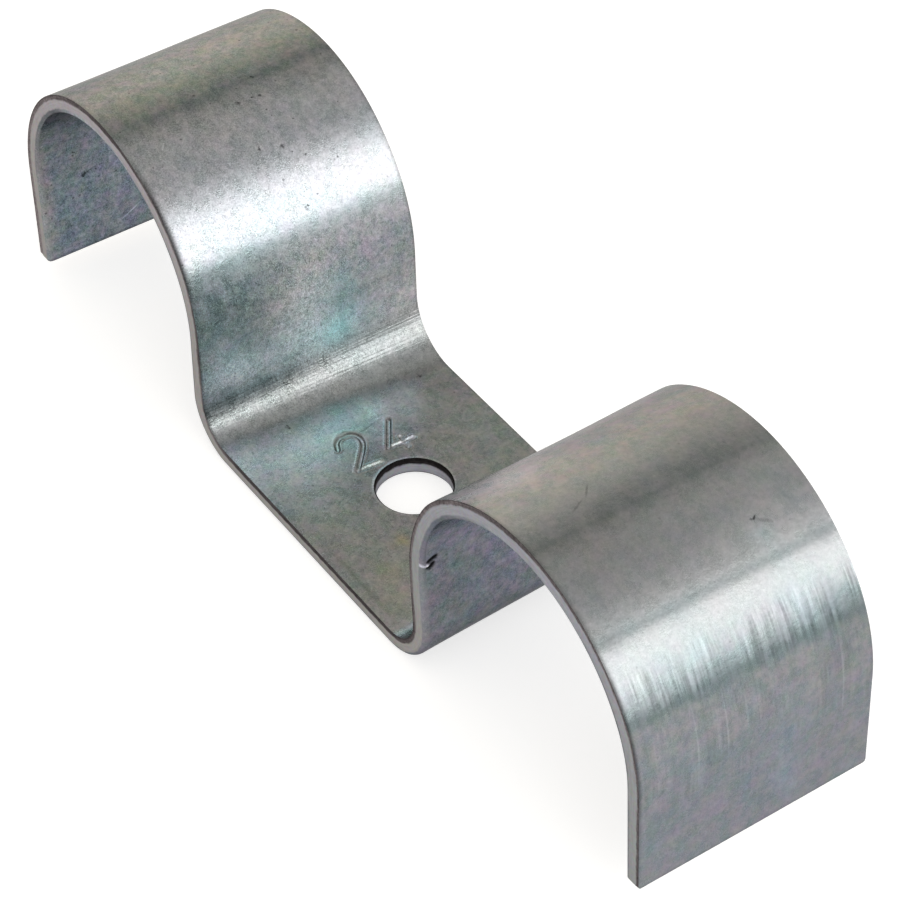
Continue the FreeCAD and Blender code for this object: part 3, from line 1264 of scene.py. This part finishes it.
def cut_edge_material():
    """The sheared wall: a dark torn band at the top, a light burnished one, then the roll."""
    material, nodes = new_material("cut_edge")
    place, strip = strap_coordinates(nodes)
    zinc, _, zinc_height = zinc_look(nodes, place, strip)
    rise = nodes.split(place)[2]
    along, across, _ = nodes.split(strip)
    wall = nodes.add("Attribute", attribute_name="cut_wall")
    depth, torn_share, tone = nodes.split(wall["Color"], "SeparateColor")
    smear = stretched_noise(nodes, strip, 0.5, 9)
    uneven_depth = depth + swing(nodes, nodes.noise(place, *EDGE_WOBBLE)[0], 0.06)
    in_hole = nodes.math("GREATER_THAN", across, STRIP_WIDTH)
    crown = nodes.most(nodes.remap(rise, *CROWN_START), in_hole)
    right_side = nodes.most(nodes.remap(along, *RIGHT_SIDE_START), in_hole)
    burnished = burnished_colour(nodes, place, smear, crown, right_side)
    rim = {0: nodes.mix(1, zinc, ROLLED_TINT, "MULTIPLY"), "Scale": wall["Alpha"]}
    rolled = nodes.add("VectorMath", rim, operation="SCALE")[0]
    colour = nodes.mix(nodes.remap(uneven_depth, *ROLL_START), burnished, rolled)
    torn = nodes.remap(uneven_depth - torn_share, *TORN_END, 1, 0)
    colour = nodes.mix(torn, colour, torn_colour(nodes, place, smear, depth, tone))
    metal(nodes, colour, nodes.blend(torn, 0.38, 0.6), zinc_height + smear)
    return material


# Floor, light and camera

FLOOR_REACH = 3000.0
FLOOR_DROP = 0.02
FLOOR_GLOW_SEEN = 0.64
FLOOR_GLOW_REFLECTED = 0.3


def make_floor():
    """A plain white floor that keeps the strap's shadow."""
    mesh = bpy.data.meshes.new("floor")
    outline = [(-1, -1), (1, -1), (1, 1), (-1, 1)]
    corners = [(FLOOR_REACH * MM * x, FLOOR_REACH * MM * y, -FLOOR_DROP * MM) for x, y in outline]
    mesh.from_pydata(corners, [], [(0, 1, 2, 3)])
    floor = add_object("floor", mesh)
    material, nodes = new_material("floor")
    diffuse = nodes.add("BsdfDiffuse", {"Color": opaque(0.6, 0.6, 0.6)})
    path = nodes.add("LightPath")
    reflected = nodes.most(path["Is Glossy Ray"], path["Is Transmission Ray"])
    seen = nodes.math("MULTIPLY", path["Is Camera Ray"], FLOOR_GLOW_SEEN)
    glow = nodes.add("Emission", {"Strength": seen + reflected * FLOOR_GLOW_REFLECTED})
    both = nodes.add("AddShader", {0: diffuse[0], 1: glow[0]})
    nodes.add("OutputMaterial", {"Surface": both[0]})
    mesh.materials.append(material)


# The bright side of the studio, by bearing from +X towards +Y and by height above the floor:
# the sill and the head each fade between two heights
WINDOW_BEARING = radians(12)
WINDOW_HALF_WIDTH = radians(17)
WINDOW_SIDE_FADE = radians(32)
WINDOW_SILL = (radians(3), radians(16))
WINDOW_HEAD = (radians(33), radians(59))
WINDOW_STRENGTH = 2.75
WINDOW_COLOUR = opaque(1, 1, 0.98)

# The dome round it, warmer on the left, with a darker patch overhead on the other side
DOME_COLOUR = opaque(1.03, 1, 0.96)
DOME_WARM_COLOUR = opaque(1.06, 1, 0.88)
SHADE_BEARING = radians(138)
SHADE_ELEVATION = radians(55)
SHADE_REACH = radians(17)
SHADE_DEPTH = 0.5


def sky_direction(bearing, elevation):
    """Unit vector towards a place in the sky."""
    level = cos(elevation)
    return (cos(bearing) * level, sin(bearing) * level, sin(elevation))


def studio_light():
    """A soft dome with one wide bright window to the right and a darker patch overhead."""
    world = bpy.data.worlds.new("studio")
    bpy.context.scene.world = world
    world.use_nodes = True
    nodes = Nodes(world.node_tree)
    direction = nodes.add("TexCoord")["Generated"]
    east, north, height = nodes.split(direction)
    aside = abs(nodes.math("ARCTAN2", north, east) - WINDOW_BEARING)
    side_end = WINDOW_HALF_WIDTH + WINDOW_SIDE_FADE
    beside = nodes.remap(aside, WINDOW_HALF_WIDTH, side_end, 1, 0)
    sill = nodes.remap(height, sin(WINDOW_SILL[0]), sin(WINDOW_SILL[1]))
    head = nodes.remap(height, sin(WINDOW_HEAD[0]), sin(WINDOW_HEAD[1]), 1, 0)
    window = beside * sill * head * WINDOW_STRENGTH
    window_light = {"Color": WINDOW_COLOUR, "Strength": window}
    shade_centre = sky_direction(SHADE_BEARING, SHADE_ELEVATION)
    facing = nodes.measure("DOT_PRODUCT", direction, shade_centre)
    shade = nodes.remap(facing, cos(SHADE_REACH), 1) * SHADE_DEPTH
    dome = nodes.remap(height, 0.2, 0.95, 0.85, 0.72) * (1 - shade)
    warm_side = nodes.remap(east, -0.9, 0.3, 1, 0)
    dome_colour = nodes.mix(warm_side, DOME_COLOUR, DOME_WARM_COLOUR)
    dome_light = {"Color": dome_colour, "Strength": dome}
    backdrop = {"Color": opaque(1, 1, 1), "Strength": 1}
    lights = (dome_light, window_light, backdrop)
    dome_light, window_light, backdrop = [nodes.add("Background", x)[0] for x in lights]
    light = nodes.add("AddShader", {0: dome_light, 1: window_light})[0]
    in_view = nodes.add("LightPath")["Is Camera Ray"]
    shown = nodes.add("MixShader", {0: in_view, 1: light, 2: backdrop})
    nodes.add("OutputWorld", {"Surface": shown[0]})


# Camera, fitted to the photograph: where it looks from, what it looks at and its turn
CAMERA_AZIMUTH = radians(56.359)
CAMERA_ELEVATION = radians(43.563)
CAMERA_ROLL = radians(-1.121)
CAMERA_DISTANCE = 236.508
CAMERA_TARGET = (3.939, 0.757, 8.0)
CAMERA_LENS = 125.371


def place_camera():
    """The camera at the photograph's view."""
    back = Vector(sky_direction(CAMERA_AZIMUTH - pi / 2, CAMERA_ELEVATION))
    right = Vector((0, 0, 1)).cross(back).normalized()
    up = back.cross(right)
    turned_right = right * cos(CAMERA_ROLL) + up * sin(CAMERA_ROLL)
    turned_up = up * cos(CAMERA_ROLL) - right * sin(CAMERA_ROLL)
    data = bpy.data.cameras.new("camera")
    data.lens = CAMERA_LENS
    data.sensor_width = 36
    data.clip_start = 10 * MM
    data.clip_end = 10000 * MM
    camera = add_object("camera", data)
    axes = Matrix((turned_right, turned_up, back)).transposed()
    camera.rotation_mode = "QUATERNION"
    camera.rotation_quaternion = axes.to_quaternion()
    camera.location = (Vector(CAMERA_TARGET) + back * CAMERA_DISTANCE) * MM
    bpy.context.scene.camera = camera


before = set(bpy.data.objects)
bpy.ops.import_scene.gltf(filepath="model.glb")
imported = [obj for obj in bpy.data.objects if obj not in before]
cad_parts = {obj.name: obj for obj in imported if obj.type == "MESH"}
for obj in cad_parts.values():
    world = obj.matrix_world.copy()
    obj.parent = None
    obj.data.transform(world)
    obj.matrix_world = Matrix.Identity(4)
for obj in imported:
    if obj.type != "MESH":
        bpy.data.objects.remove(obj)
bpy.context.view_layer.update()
strap = make_strap()
strap.data.materials.append(zinc_face_material())
strap.data.materials.append(cut_edge_material())
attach(strap, "root")
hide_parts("strap")
make_floor()
studio_light()
place_camera()
bpy.context.scene.view_settings.view_transform = "Standard"
